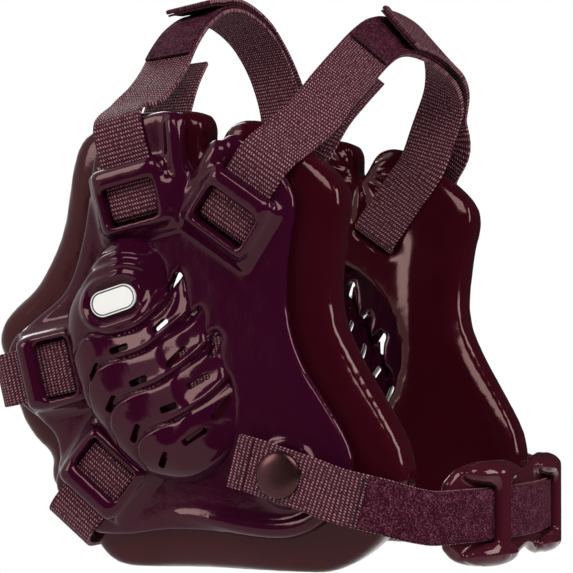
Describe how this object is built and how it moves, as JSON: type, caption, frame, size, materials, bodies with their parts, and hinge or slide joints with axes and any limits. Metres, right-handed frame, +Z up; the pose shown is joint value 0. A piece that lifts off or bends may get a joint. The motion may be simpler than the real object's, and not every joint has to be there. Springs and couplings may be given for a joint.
{
  "type": "wrestling headgear",
  "caption": "Two padded ear cups with vented domes on crossing webbing straps, with a chin strap that closes on snaps and carries a moulded chin cup.",
  "frame": {"origin": "the middle of the bounding box, at the level of the pads' lowest edges", "axes": "-Y the way the wearer faces, +Z up, +X the wearer's left"},
  "size_m": [0.2008, 0.1868, 0.2094],
  "materials": {
    "vinyl_pad": "glossy vinyl skin over foam",
    "vinyl_cover": "glossy moulded vinyl",
    "insert": "plain stiff plastic",
    "badge_white": "smooth, blank",
    "snap_steel": "plated",
    "cap_brown": "dark brown lacquer",
    "webbing_maroon": "woven webbing",
    "pile_maroon": "loop pile",
    "hook_maroon": "hook tape"
  },
  "bodies": {
    "right_cup": {"right_pad": "vinyl_pad", "right_liner": "vinyl_cover", "right_guard": "insert", "right_shell": "vinyl_cover", "right_badge": "badge_white", "right_snap_stud": "snap_steel", "front_crown_strap": "webbing_maroon", "front_loop_patch": "pile_maroon", "rear_crown_strap": "webbing_maroon", "rear_loop_patch": "pile_maroon", "upper_back_strap": "webbing_maroon", "lower_back_strap": "webbing_maroon"},
    "left_cup": {"left_pad": "vinyl_pad", "left_liner": "vinyl_cover", "left_guard": "insert", "left_shell": "vinyl_cover", "left_badge": "badge_white", "left_snap_stud": "snap_steel"},
    "chin_strap": {"right_snap_socket": "snap_steel", "right_snap_cap": "cap_brown", "chin_strap": "webbing_maroon", "chin_loop_patch": "pile_maroon"},
    "chin_cup": {"chin_cup": "vinyl_cover"},
    "left_snap": {"left_snap_socket": "snap_steel", "left_snap_cap": "cap_brown"},
    "left_tab": {"left_chin_tab": "webbing_maroon", "left_chin_hook": "hook_maroon"},
    "front_tail": {"front_crown_tail": "webbing_maroon", "front_hook_patch": "hook_maroon"},
    "rear_tail": {"rear_crown_tail": "webbing_maroon", "rear_hook_patch": "hook_maroon"}
  },
  "joints": [
    {"name": "cup_spread", "type": "hinge", "parent": "right_cup", "child": "left_cup", "pos_m": [0, 0.0724, 0.014], "axis": [0, -0.1921, 0.9814], "range_deg": [0, 10], "deforming": ["front_crown_strap", "rear_crown_strap", "upper_back_strap", "lower_back_strap"]},
    {"name": "chin_swing", "type": "hinge", "parent": "right_cup", "child": "chin_strap", "pos_m": [0, -0.0286, 0.03419], "axis": [-1, 0, 0], "range_deg": [-35, 30]},
    {"name": "chin_cup_slide", "type": "hinge", "parent": "chin_strap", "child": "chin_cup", "pos_m": [0, 0.0602, 0.019], "axis": [0, 0, 1], "range_deg": [-3, 3]},
    {"name": "left_snap_pull", "type": "slide", "parent": "left_cup", "child": "left_snap", "axis": [1, 0, 0], "range_m": [0, 0.006]},
    {"name": "left_tab_swing", "type": "hinge", "parent": "left_snap", "child": "left_tab", "pos_m": [0, -0.0286, 0.03419], "axis": [-1, 0, 0], "range_deg": [-35, 30]},
    {"name": "front_tail_peel", "type": "hinge", "parent": "right_cup", "child": "front_tail", "pos_m": [0.0435, -0.04092, 0.19157], "axis": [0.2244, 0.677, 0.7009], "range_deg": [0, 50]},
    {"name": "rear_tail_peel", "type": "hinge", "parent": "right_cup", "child": "rear_tail", "pos_m": [0.04258, 0.03481, 0.19974], "axis": [-0.0177, 0.9901, -0.1396], "range_deg": [0, 50]}
  ],
  "couplings": [
    {"joint": "left_tab_swing", "follows": "chin_swing", "ratio": 1}
  ]
}
